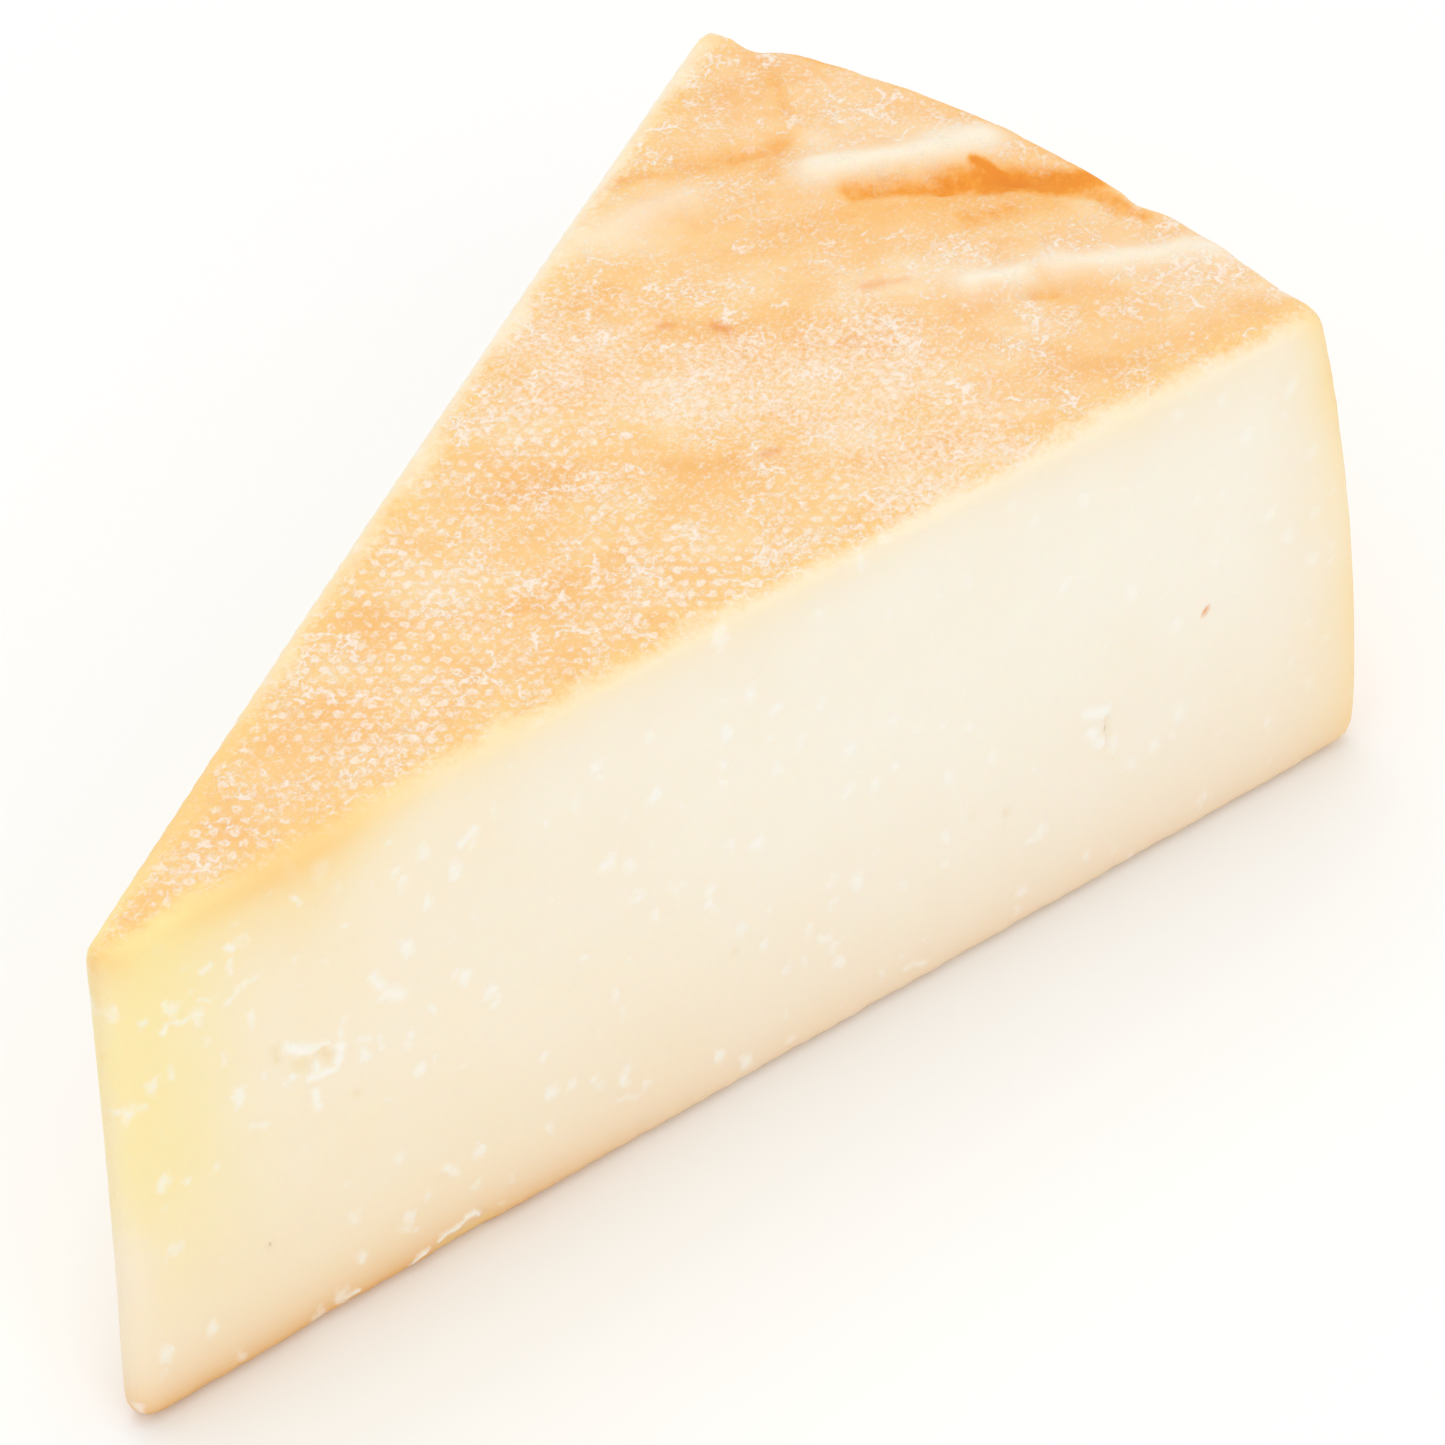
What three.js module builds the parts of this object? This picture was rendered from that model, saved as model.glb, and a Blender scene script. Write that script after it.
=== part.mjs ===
// A wedge cut from a wheel of hard, natural-rind cheese, standing on the wheel's lower face.
//
// Sizes are in millimetres and +Z is up. While the wedge is shaped, the wheel's axis stands at
// x = 0, y = 0, and the wedge's middle line runs along +X from the thin tip to the rind at the
// heel. The finished wedge is then set down with the origin on the surface it stands on, under the
// middle of its bounding box.

import * as THREE from "three";
import { mergeVertices } from "three/addons/utils/BufferGeometryUtils.js";

// The wheel.
const WHEEL_RADIUS = 149.5; // at the girth, the widest ring of the rim
const TIP_HEIGHT = 60.5; // height on the wheel's axis
const RIM_HEIGHT = 58.5; // height at the rim
const TOP_CROWN = 1.15; // swell of the top above a straight line from the axis to the rim
const GIRTH_HEIGHT = 8.7; // how far the girth lies above the base
const RIM_LEAN = 5.2; // how far the rim leans in between the girth and the top
const RIM_WEAR = 0.9; // how far the rim's bottom edge is worn in and up, beyond its edge radius
const RIM_WEAR_REACH = 5.5; // distance from that edge where the wear has died away

// The cut.
const WEDGE_ANGLE = 30.6; // degrees between the two cut faces
const CUT_EDGE_RADIUS = 1.6; // radius worn on every cut edge
const TIP_BLUNTING = 0.6; // length missing from the sharp tip
const TIP_WEAR = 0.7; // how far the foot of the tip is worn in and up, beyond its edge radius
const TIP_WEAR_REACH = 4; // distance from the foot of the tip where the wear has died away
const TIP_LEAN = 4; // how far the foot of the tip reaches out past its top
const TIP_LEAN_CURVE = 1.3; // over 1, the tip leans more and more towards its foot
const TIP_LEAN_REACH = 40; // distance behind the wheel's axis where that lean has died away

// The grid of the mesh.
const LENGTH_STEPS = 46; // from tip to heel
const WIDTH_STEPS = 16; // from one cut face to the other
const HEIGHT_STEPS = 16; // from base to top
const EDGE_STEPS = 3; // of those, the steps that turn round an edge at each end
const HEEL_CROWDING = 0.7; // how much finer the steps from tip to heel become towards the heel
const END_CROWDING = 0.75; // how much finer the height steps become towards the base and the top
const MERGE_DISTANCE = 1e-3;

const HALF_ANGLE = THREE.MathUtils.degToRad(WEDGE_ANGLE / 2);
const CORE_TIP = CUT_EDGE_RADIUS / Math.sin(HALF_ANGLE); // where the sides of the core meet

// Splits a grid index into its place across the face, from -1 to 1, and its turn round the edge:
// 0 on the face, -1 or 1 once it has turned right round at either end.
function placeAndTurn(index, steps) {
  const faceSteps = steps - 2 * EDGE_STEPS;
  const place = THREE.MathUtils.clamp(((index - EDGE_STEPS) / faceSteps) * 2 - 1, -1, 1);
  const before = Math.max(EDGE_STEPS - index, 0);
  const beyond = Math.max(index - (steps - EDGE_STEPS), 0);
  return { place, turn: (beyond - before) / EDGE_STEPS };
}

// The rim's radius at a height, leaning in above the girth along a parabola.
function rimRadius(height) {
  const rise = (height - GIRTH_HEIGHT) / (TIP_HEIGHT - GIRTH_HEIGHT);
  return WHEEL_RADIUS - RIM_LEAN * rise * rise;
}

// The top's height at a distance from the wheel's axis.
function topHeight(distance) {
  const share = distance / WHEEL_RADIUS;
  return TIP_HEIGHT + (RIM_HEIGHT - TIP_HEIGHT) * share + 4 * TOP_CROWN * share * (1 - share);
}

// A point of the core: the wedge shrunk by the edge radius on every side. It lies at a share of
// the way from tip to heel, at an angle from the middle line, and at a share of the height.
function corePoint(lengthShare, angle, heightShare) {
  const lengthCrowded = lengthShare + (HEEL_CROWDING * Math.sin(Math.PI * lengthShare)) / Math.PI;
  const turn = 2 * Math.PI;
  const heightCrowded = heightShare - (END_CROWDING * Math.sin(turn * heightShare)) / turn;
  const level = THREE.MathUtils.lerp(CUT_EDGE_RADIUS, TIP_HEIGHT - CUT_EDGE_RADIUS, heightCrowded);

  // The core's two sides meet at CORE_TIP, so the way to the rim is measured from there.
  const coreRim = rimRadius(level) - CUT_EDGE_RADIUS;
  const along = CORE_TIP * Math.cos(angle);
  const reach = Math.sqrt(along * along + coreRim * coreRim - CORE_TIP * CORE_TIP) - along;
  const distance = THREE.MathUtils.lerp(TIP_BLUNTING, reach, lengthCrowded);
  const x = CORE_TIP + distance * Math.cos(angle);
  const y = distance * Math.sin(angle);
  const top = topHeight(Math.hypot(x, y)) - CUT_EDGE_RADIUS;
  return new THREE.Vector3(x, y, THREE.MathUtils.lerp(CUT_EDGE_RADIUS, top, heightCrowded));
}

// The way out of the core, blended evenly between the faces that meet at an edge or a corner.
function outward(core, lengthTurn, widthTurn, heightTurn) {
  const heel = new THREE.Vector3(core.x, core.y, 0).normalize();
  const lengthFace = lengthTurn > 0 ? heel : new THREE.Vector3(-1, 0, 0);
  const side = Math.sign(widthTurn);
  const widthFace = new THREE.Vector3(-Math.sin(HALF_ANGLE), Math.cos(HALF_ANGLE) * side, 0);
  const heightFace = new THREE.Vector3(0, 0, Math.sign(heightTurn));
  const weight = (turn) => Math.tan((Math.PI / 4) * Math.abs(turn));
  return new THREE.Vector3()
    .addScaledVector(lengthFace, weight(lengthTurn))
    .addScaledVector(widthFace, weight(widthTurn))
    .addScaledVector(heightFace, weight(heightTurn))
    .normalize();
}

// Wears a bottom edge rounder: moves a point in from the edge and up, most at the edge itself.
function wearFoot(point, distanceIn, inward, depth, reach) {
  const across = THREE.MathUtils.clamp(1 - distanceIn / reach, 0, 1);
  const up = THREE.MathUtils.clamp(1 - point.z / reach, 0, 1);
  const amount = depth * (across * up) ** 2;
  point.addScaledVector(inward, amount);
  point.z += amount;
}

function wearRim(point) {
  const radius = Math.hypot(point.x, point.y);
  const inward = new THREE.Vector3(-point.x / radius, -point.y / radius, 0);
  wearFoot(point, WHEEL_RADIUS - radius, inward, RIM_WEAR, RIM_WEAR_REACH);
}

function wearTip(point) {
  const distanceIn = point.x - (CORE_TIP + TIP_BLUNTING - CUT_EDGE_RADIUS);
  wearFoot(point, distanceIn, new THREE.Vector3(1, 0, 0), TIP_WEAR, TIP_WEAR_REACH);
}

// The edge at the tip isn't upright: towards the base it runs out past the wheel's axis.
function leanTip(point) {
  const nearness = THREE.MathUtils.clamp(1 - point.x / TIP_LEAN_REACH, 0, 1);
  const fall = THREE.MathUtils.clamp(1 - point.z / TIP_HEIGHT, 0, 1);
  point.x -= TIP_LEAN * fall ** TIP_LEAN_CURVE * nearness * nearness;
}

// Moves a point of the 2 x 2 x 2 grid box to its place on the wedge.
function wedgePoint(gridPoint) {
  const index = (value, steps) => Math.round(((value + 1) / 2) * steps);
  const length = placeAndTurn(index(gridPoint.x, LENGTH_STEPS), LENGTH_STEPS);
  const width = placeAndTurn(index(gridPoint.y, WIDTH_STEPS), WIDTH_STEPS);
  const height = placeAndTurn(index(gridPoint.z, HEIGHT_STEPS), HEIGHT_STEPS);

  const point = corePoint((length.place + 1) / 2, width.place * HALF_ANGLE, (height.place + 1) / 2);
  point.addScaledVector(outward(point, length.turn, width.turn, height.turn), CUT_EDGE_RADIUS);
  wearRim(point);
  wearTip(point);
  leanTip(point);
  return point;
}

function makeWedgeGeometry() {
  const box = new THREE.BoxGeometry(2, 2, 2, LENGTH_STEPS, WIDTH_STEPS, HEIGHT_STEPS);
  box.deleteAttribute("normal");
  box.deleteAttribute("uv");
  const geometry = mergeVertices(box, MERGE_DISTANCE);
  const positions = geometry.getAttribute("position");
  const gridPoint = new THREE.Vector3();
  for (let i = 0; i < positions.count; i++) {
    gridPoint.fromBufferAttribute(positions, i);
    positions.setXYZ(i, ...wedgePoint(gridPoint).toArray());
  }
  geometry.computeVertexNormals();
  geometry.computeBoundingBox();
  return geometry;
}

function makeWedge() {
  const geometry = makeWedgeGeometry();
  const material = new THREE.MeshStandardMaterial({ color: 0xf6e6bb, roughness: 0.55, metalness: 0 });
  const mesh = new THREE.Mesh(geometry, material);
  mesh.name = "cheese_wedge";
  const middle = geometry.boundingBox.getCenter(new THREE.Vector3());
  mesh.position.set(-middle.x, -middle.y, -geometry.boundingBox.min.z);
  return mesh;
}

const cheese = new THREE.Group();
cheese.add(makeWedge());

export default cheese;
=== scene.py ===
"""The looks of a wedge of hard, natural-rind cheese.

The wheel it was cut from was pressed in a cloth, then brushed and washed while it ripened. Its rind
is a thin, dry, orange-tan skin that holds the cloth's print as rows of pale dots under a dusting of
white bloom. The paste inside is cream, darker and yellower where it has dried towards the rind, and
darker still towards the base, partly with painted shade.
"""

import math
import random

import bmesh
import bpy
import numpy as np
from mathutils import Matrix, Vector, noise


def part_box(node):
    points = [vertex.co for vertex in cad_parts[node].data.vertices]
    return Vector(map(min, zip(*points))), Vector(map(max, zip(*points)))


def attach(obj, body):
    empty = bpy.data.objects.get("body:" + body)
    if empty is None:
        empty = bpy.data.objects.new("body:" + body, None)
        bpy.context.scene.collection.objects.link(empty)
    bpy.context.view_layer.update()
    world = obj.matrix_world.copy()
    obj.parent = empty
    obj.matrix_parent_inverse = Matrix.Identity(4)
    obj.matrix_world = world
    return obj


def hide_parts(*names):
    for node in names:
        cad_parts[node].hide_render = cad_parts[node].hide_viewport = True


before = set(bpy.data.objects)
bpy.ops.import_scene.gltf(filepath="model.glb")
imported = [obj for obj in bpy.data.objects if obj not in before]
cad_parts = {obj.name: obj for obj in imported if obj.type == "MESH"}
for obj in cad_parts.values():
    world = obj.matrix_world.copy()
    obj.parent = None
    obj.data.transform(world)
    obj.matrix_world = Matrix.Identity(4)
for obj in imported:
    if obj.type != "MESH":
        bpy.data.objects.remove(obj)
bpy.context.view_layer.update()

MM = 0.001  # everything below is in millimetres, and Blender works in metres

# The wheel, as the design has it.
WHEEL_RADIUS = 149.5
TIP_HEIGHT = 60.5
RIM_HEIGHT = 58.5
TOP_CROWN = 1.15
GIRTH_HEIGHT = 8.7
RIM_LEAN = 5.2
HALF_ANGLE = math.radians(30.6 / 2)

heel_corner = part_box("cheese_wedge")[1]
WHEEL_AXIS_X = heel_corner.x / MM - WHEEL_RADIUS  # the wheel's upright axis, where the tip comes

# The mesh.
MESH_PITCH = 0.8  # side of a face of the finished mesh, halved on the upper rind and at torn spots
RIND_DEPTH = 2.5  # how far down the rim the finer faces of the upper rind go
SEED = 11  # for the flecks of the back cut

# The print of the moulding cloth: dots in rows, each dot between six others.
DOT_SPACING = 1.7
ROW_PITCH = DOT_SPACING * math.sqrt(0.75)
ROW_TURNS = (-23.6, 36.4, 96.4)  # degrees from the wedge's middle line to across each set of rows
DOT_HEIGHT = 0.06

# Patterns of the finish, in features per millimetre, with the size of one feature beside each.
MOTTLE = 0.09  # 11 mm clouds of the paste
CURD_GRAIN = 0.8  # 1.25 mm grains of curd on the cut
GRIT = 1.1  # 0.9 mm crumbs at torn and ragged edges
SKIN_PATCH = 0.14  # 7 mm patches of the skin's tone
BORDER_WANDER = 0.16  # 6 mm wanderings of the rind's border with the cut
PRINT_GAPS = 0.45  # 2 mm gaps rubbed in the cloth's print
BLOOM_DRIFT = 0.15  # 7 mm drifts of bloom
THREAD_GAPS = 0.22  # 4.5 mm gaps in the long threads
BLOOM_CRUMB = 2.0  # 0.5 mm crumbs of bloom, coarser than real ones, which are too fine to show

# Patterns of the finish that are longer one way, in millimetres.
FLECK_SIZE = (2.7, 2.7, 3.9)  # the space that each fleck of the paste has to itself
STREAK_SIZE = (30.0, 8.0, 12.0)  # the rusty streaks of the rind
STREAK_TURN = math.radians(-42.0)  # from the wedge's middle line to the streaks


# ---------------------------------------------------------------- places on the wedge


def step_up(low_edge, high_edge, value):
    """0 below one edge, 1 above the other, and a smooth step between them."""
    t = np.clip((value - low_edge) / (high_edge - low_edge), 0.0, 1.0)
    return t * t * (3.0 - 2.0 * t)


def noise_at(points, size, octaves=3, shift=0.0):
    """Fractal noise of about -1 to 1 at each point, with features of a size in millimetres."""
    offset = Vector((shift, 1.7 * shift, -2.3 * shift))
    values = (noise.fractal(Vector(p) / size + offset, 1.0, 2.0, octaves) for p in points)
    return np.fromiter(values, float, len(points))


class Places:
    """Where each vertex lies, in millimetres, seen from the wheel's axis."""

    def __init__(self, mesh):
        count = len(mesh.vertices)
        co = np.zeros(count * 3)
        mesh.vertices.foreach_get("co", co)
        self.points = co.reshape(-1, 3) / MM - np.array([WHEEL_AXIS_X, 0.0, 0.0])
        normals = np.zeros(count * 3)
        mesh.vertex_normals.foreach_get("vector", normals)
        self.normals = normals.reshape(-1, 3)

        self.x, self.y, self.z = self.points.T
        self.radius = np.hypot(self.x, self.y)
        self.arc = np.arctan2(self.y, self.x) * WHEEL_RADIUS
        share = self.radius / WHEEL_RADIUS
        crown = 4.0 * TOP_CROWN * share * (1.0 - share)
        rise = (self.z - GIRTH_HEIGHT) / (TIP_HEIGHT - GIRTH_HEIGHT)

        # How deep each vertex lies under each of the five faces.
        self.under_top = TIP_HEIGHT + (RIM_HEIGHT - TIP_HEIGHT) * share + crown - self.z
        self.over_base = self.z
        self.inside_heel = WHEEL_RADIUS - RIM_LEAN * rise * rise - self.radius
        self.behind_front = self.x * math.sin(HALF_ANGLE) + self.y * math.cos(HALF_ANGLE)
        self.behind_back = self.x * math.sin(HALF_ANGLE) - self.y * math.cos(HALF_ANGLE)
        self.from_cut = np.minimum(self.behind_front, self.behind_back)
        self.from_rind = np.minimum(np.minimum(self.under_top, self.over_base), self.inside_heel)
        self.on_front = self.behind_front < self.behind_back


def stroke(x, y, start, end, half_width):
    """1 along a straight stroke, falling away softly beside it and past its ends."""
    run = (end[0] - start[0], end[1] - start[1])
    length_squared = max(run[0] ** 2 + run[1] ** 2, 1e-6)
    share = ((x - start[0]) * run[0] + (y - start[1]) * run[1]) / length_squared
    share = np.clip(share, 0.0, 1.0)
    away = np.hypot(x - start[0] - share * run[0], y - start[1] - share * run[1])
    return np.exp(-((away / half_width) ** 2))


# ---------------------------------------------------------------- relief of the rind

# Ridges and furrows of the top near the heel, where the cloth was folded under the press: start and
# end as seen from the wheel's axis, half the width, and height (negative for a furrow).
CLOTH_FOLDS = [
    ((127.0, 13.8), (141.0, 4.2), 2.5, 1.05),
    ((115.0, 20.5), (126.0, 14.4), 2.8, 0.35),
    ((128.5, 8.4), (134.0, 4.2), 1.7, -0.75),
    ((134.0, 3.0), (141.5, -3.5), 2.0, -1.0),
    ((139.5, -5.0), (142.5, -8.5), 2.2, -0.7),
    ((129.8, -13.2), (141.0, -23.5), 2.2, 0.7),
    ((122.8, -8.4), (126.6, -11.2), 2.3, 0.9),
    ((121.0, -12.5), (128.0, -17.0), 1.5, -0.45),
    ((122.5, -18.0), (126.0, -30.0), 2.6, -0.35),
    ((106.0, 25.5), (116.0, 21.5), 2.8, 0.45),
    ((103.0, 22.0), (105.5, 20.0), 2.0, 0.3),
    ((122.0, 24.5), (129.0, 19.5), 1.6, -0.35),
    ((60.0, 13.0), (84.0, 0.0), 3.0, -0.25),
    ((80.0, 8.0), (100.0, -11.0), 3.0, -0.2),
]

PALE_CREST_RISE = 0.4  # a fold that stands higher than this is paler on its crest, partly worn pale by rubbing, partly a painted highlight

# Narrow cracks of the rind: two ends, and depth.
RIND_CRACKS = [
    ((138.0, 2.4), (138.8, -2.2), 0.5),
    ((136.6, 27.2), (133.2, 22.6), 0.35),
    ((124.5, 21.8), (128.6, 20.2), 0.25),
    ((127.9, 18.6), (128.8, 21.6), 0.25),
    ((141.4, -9.6), (139.8, -13.2), 0.4),
    ((127.8, -15.6), (124.6, -13.4), 0.45),
]


def top_folds(places):
    x = places.x + 1.1 * noise_at(places.points, 8.0, 2, 3.1)
    y = places.y + 1.1 * noise_at(places.points, 8.0, 2, 8.4)
    height = np.zeros(len(x))
    for start, end, half_width, rise in CLOTH_FOLDS:
        height += rise * stroke(x, y, start, end, half_width)
    for start, end, depth in RIND_CRACKS:
        height -= depth * stroke(x, y, start, end, 0.6)
    return height * (1.0 - step_up(1.0, 4.0, places.under_top))


def print_depth(places):
    """How clearly the cloth's print shows, from 0 to 1: worn near the heel, the edges and in patches."""
    toward_tip = 1.0 - step_up(62.0, 108.0, places.radius)
    patches = noise_at(places.points, 15.0, 3, 81.0)
    inside_edges = step_up(1.0, 3.6, places.from_cut + 1.2 * noise_at(places.points, 4.0, 3, 84.0))
    down_rim = np.minimum(places.under_top, places.over_base)
    near_flat = 1.0 - step_up(2.0, 9.0, down_rim)
    return np.clip(0.12 + 0.75 * toward_tip + 0.6 * patches, 0.0, 1.0) * inside_edges * near_flat


def cloth_places(places):
    """The cloth's own flat coordinates: the top or base as it lies, spread on over the rim's edge."""
    down_rim = np.maximum(np.minimum(places.under_top, places.over_base), 0.0)
    spread = 1.0 + down_rim / WHEEL_RADIUS
    sway_x = 0.45 * noise_at(places.points, 6.0, 3, 87.0)
    sway_y = 0.45 * noise_at(places.points, 6.0, 3, 89.0)
    return np.stack([places.x * spread + sway_x, places.y * spread + sway_y, 0.0 * places.x], 1)


def dot_waves(flat):
    """The rows of dots: 3 at the heart of a dot, and -1.5 between dots."""
    total = np.zeros(len(flat))
    for turn in ROW_TURNS:
        angle = math.radians(turn)
        across = flat[:, 0] * math.cos(angle) + flat[:, 1] * math.sin(angle)
        total += np.cos(2.0 * math.pi / ROW_PITCH * across)
    return total


def rind_relief(places, flat, depth_of_print):
    """Height of the rind over the smooth form: slow swells, wrinkles, folds, and the cloth's dots."""
    heelward = step_up(60.0, 130.0, places.radius)
    swell = 0.32 * noise_at(places.points, 24.0, 2, 1.3)
    knobs = (0.08 + 0.14 * heelward) * noise_at(places.points, 6.5, 3, 5.2)
    creases = np.abs(noise_at(places.points, 9.0, 3, 9.7))
    wrinkles = -0.13 * (1.0 - step_up(0.0, 0.1, creases))
    dots = DOT_HEIGHT * depth_of_print * step_up(0.2, 2.2, dot_waves(flat))
    return swell + knobs + wrinkles + dots + top_folds(places)


# ---------------------------------------------------------------- relief of the cuts

# Marks of the front cut, where the knife dragged or tore the paste: start and end as distance from
# the wheel's axis and height, half the width, rise over the cut, and how white the paste is there.
FRONT_MARKS = [
    # The torn cluster: flakes round two pits.
    ((22.7, 38.3), (24.8, 36.5), 0.75, 0.22, 0.95),
    ((23.6, 35.2), (25.0, 34.4), 0.7, -0.36, 0.0),
    ((26.4, 35.3), (26.9, 34.1), 0.55, -0.4, 0.0),
    ((28.2, 35.0), (27.8, 33.3), 0.65, 0.25, 1.0),
    ((24.6, 32.9), (27.3, 32.3), 0.6, 0.2, 1.0),
    ((25.4, 34.6), (25.7, 33.2), 0.35, 0.1, 0.9),
    ((28.5, 35.8), (29.0, 38.2), 0.35, 0.12, 0.7),
    ((25.5, 36.4), (27.2, 35.9), 0.4, 0.1, 0.8),
    ((22.7, 34.3), (23.3, 33.9), 0.35, 0.1, 0.9),
    ((25.0, 30.6), (25.2, 28.7), 0.55, 0.12, 0.9),
    ((21.5, 38.8), (21.7, 37.2), 0.5, -0.3, 0.0),
    ((19.8, 36.8), (20.3, 35.8), 0.4, 0.05, 0.6),
    # Loose grains to its right.
    ((32.4, 41.2), (33.2, 39.6), 0.8, 0.1, 0.75),
    ((33.6, 38.2), (35.2, 37.0), 1.0, 0.1, 0.8),
    ((30.4, 34.2), (31.4, 33.8), 0.6, 0.06, 0.6),
    ((32.4, 33.2), (32.7, 31.6), 0.45, 0.06, 0.6),
    ((35.0, 30.6), (35.8, 29.8), 0.5, 0.05, 0.6),
    ((18.0, 30.8), (19.6, 30.0), 0.6, 0.06, 0.6),
    # Under the ochre corner near the tip.
    ((8.0, 51.1), (8.5, 50.7), 0.4, 0.06, 0.8),
    ((10.8, 51.8), (11.0, 50.6), 0.45, 0.1, 0.85),
    ((14.9, 53.1), (16.2, 53.6), 0.45, 0.1, 0.8),
    ((17.8, 54.4), (18.5, 53.9), 0.4, 0.08, 0.8),
    ((18.2, 52.8), (17.7, 51.2), 0.4, 0.06, 0.7),
    ((10.0, 48.2), (11.0, 49.1), 0.35, 0.1, 0.9),
    ((11.0, 49.1), (12.9, 48.1), 0.35, 0.1, 0.8),
    ((14.2, 49.9), (16.4, 48.8), 0.3, 0.05, 0.6),
    ((17.0, 47.2), (18.4, 48.9), 0.4, 0.06, 0.7),
    ((18.4, 48.9), (20.4, 48.9), 0.55, 0.06, 0.6),
    ((19.2, 44.9), (19.3, 43.2), 0.45, 0.06, 0.7),
    ((15.8, 41.8), (16.1, 40.6), 0.4, 0.05, 0.6),
    ((5.8, 41.4), (7.4, 40.6), 0.6, 0.05, 0.6),
    ((24.8, 56.3), (25.8, 55.1), 0.4, 0.08, 0.7),
    ((22.4, 57.9), (23.0, 57.7), 0.3, 0.05, 0.7),
    ((43.2, 51.4), (44.6, 52.6), 0.55, 0.1, 0.8),
    ((44.8, 51.6), (44.2, 50.2), 0.4, 0.05, 0.6),
    ((38.0, 33.6), (38.6, 32.4), 0.5, 0.06, 0.6),
    # The crack towards the heel, with its dragged white flank.
    ((114.9, 24.4), (117.0, 23.2), 0.9, 0.16, 0.95),
    ((115.2, 21.7), (116.4, 19.4), 0.8, 0.14, 0.9),
    ((117.4, 22.5), (117.2, 20.9), 0.35, -0.32, 0.0),
    ((117.0, 20.6), (117.6, 15.8), 0.32, -0.2, 0.0),
    ((118.3, 19.0), (118.0, 16.8), 0.35, 0.08, 0.55),
    # A chip of the bottom edge, with a crumbly white border.
    ((36.6, 2.4), (41.0, 3.9), 0.35, 0.2, 1.0),
    ((41.0, 3.8), (41.4, 2.6), 0.3, 0.2, 0.9),
    ((33.4, 1.6), (35.2, 2.3), 0.35, 0.2, 1.0),
    ((25.8, 1.8), (27.2, 2.0), 0.5, 0.2, 0.9),
    ((37.2, 1.2), (42.5, 1.4), 0.9, -0.45, 0.0),
    ((38.2, 11.8), (39.4, 10.0), 0.6, 0.12, 0.7),
    ((37.9, 10.6), (38.0, 10.0), 0.3, -0.35, 0.0),
    ((32.6, 7.0), (34.4, 5.6), 0.7, 0.05, 0.45),
    ((43.6, 4.6), (44.0, 2.2), 0.35, 0.08, 0.5),
    # Further along.
    ((82.2, 14.2), (83.2, 13.2), 0.6, 0.08, 0.7),
    ((107.4, 11.6), (108.8, 11.2), 0.5, 0.06, 0.6),
    ((65.4, 32.4), (66.4, 29.8), 0.6, 0.05, 0.45),
    ((76.2, 22.4), (76.8, 21.0), 0.45, 0.05, 0.45),
    ((58.0, 7.6), (60.0, 6.8), 0.5, 0.06, 0.5),
    ((92.0, 3.6), (94.5, 3.0), 0.4, 0.1, 0.7),
    # Pinholes.
    ((129.6, 29.2), (129.6, 29.2), 0.38, -0.3, 0.0),
    ((105.0, 17.0), (105.0, 17.0), 0.45, -0.35, 0.0),
    ((100.4, 19.2), (100.4, 19.2), 0.45, -0.3, 0.0),
    ((18.6, 14.3), (18.6, 14.3), 0.45, -0.3, 0.0),
    ((72.5, 19.0), (72.5, 19.0), 0.4, -0.3, 0.0),
    ((29.5, 27.6), (29.5, 27.6), 0.4, -0.4, 0.0),
]

BROWN_PINHOLE = (129.6, 29.2)


def back_marks():
    """Marks of the back cut, of the same kinds as the front cut's, strewn over it."""
    draw = random.Random(SEED)
    marks = []
    for _ in range(90):
        along = draw.uniform(6.0, 140.0)
        height = draw.uniform(4.0, 55.0)
        turn = draw.uniform(-math.pi, 0.0)
        length = draw.uniform(0.3, 2.2)
        end = (along + length * math.cos(turn), height + length * math.sin(turn))
        torn = draw.random() < 0.2
        rise = -draw.uniform(0.3, 0.8) if torn else draw.uniform(0.04, 0.2)
        marks.append(((along, height), end, draw.uniform(0.3, 0.8), rise, 0.0 if torn else 0.75))
    return marks


BACK_MARKS = back_marks()


def cut_marks(places):
    """Rise and whiteness of the marks on both cuts."""
    along = places.radius + 0.3 * noise_at(places.points, 1.4, 2, 12.1)
    height = places.z + 0.3 * noise_at(places.points, 1.4, 2, 15.8)
    rise = np.zeros(len(along))
    white = np.zeros(len(along))
    for marks, here in ((FRONT_MARKS, places.on_front), (BACK_MARKS, ~places.on_front)):
        for start, end, half_width, mark_rise, mark_white in marks:
            near = stroke(along[here], height[here], start, end, half_width)
            rise[here] += mark_rise * near
            white[here] = np.maximum(white[here], mark_white * near)
    return rise, white


def cut_relief(places, rise_of_marks):
    """Height of the two cuts over their planes: the knife's slow waver, fine grain, and the marks."""
    waver = 0.12 * noise_at(places.points, 26.0, 2, 30.3)
    waver -= 0.55 * np.abs(noise_at(places.points, 8.0, 3, 33.3)) * np.exp(-places.z / 2.2)
    grain = 0.03 * noise_at(places.points, 3.2, 2, 36.6)
    return waver + grain + rise_of_marks


# ---------------------------------------------------------------- the rim

# Bulges and dents of the rim's upper part: arc from the middle line, half width, depth inwards.
RIM_DENTS = [
    (33.2, 2.6, 1.25),
    (12.0, 13.0, -0.45),
    (-13.6, 2.4, 0.75),
    (-36.5, 2.5, -0.45),
]


def move_rim(places):
    """Pulls the rim in at its dents and out at its bulges, most at the shoulder."""
    near_rim = 1.0 - step_up(0.0, 9.0, places.inside_heel)
    upper = step_up(30.0, 52.0, places.z)
    inward = np.zeros(len(places.x))
    for arc, half_width, depth in RIM_DENTS:
        inward += depth * np.exp(-(((places.arc - arc) / half_width) ** 2))
    inward *= near_rim * upper
    return -inward[:, None] * np.stack([places.x, places.y, 0 * places.z], 1) / places.radius[:, None]


# ---------------------------------------------------------------- tones, one number per vertex


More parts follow.
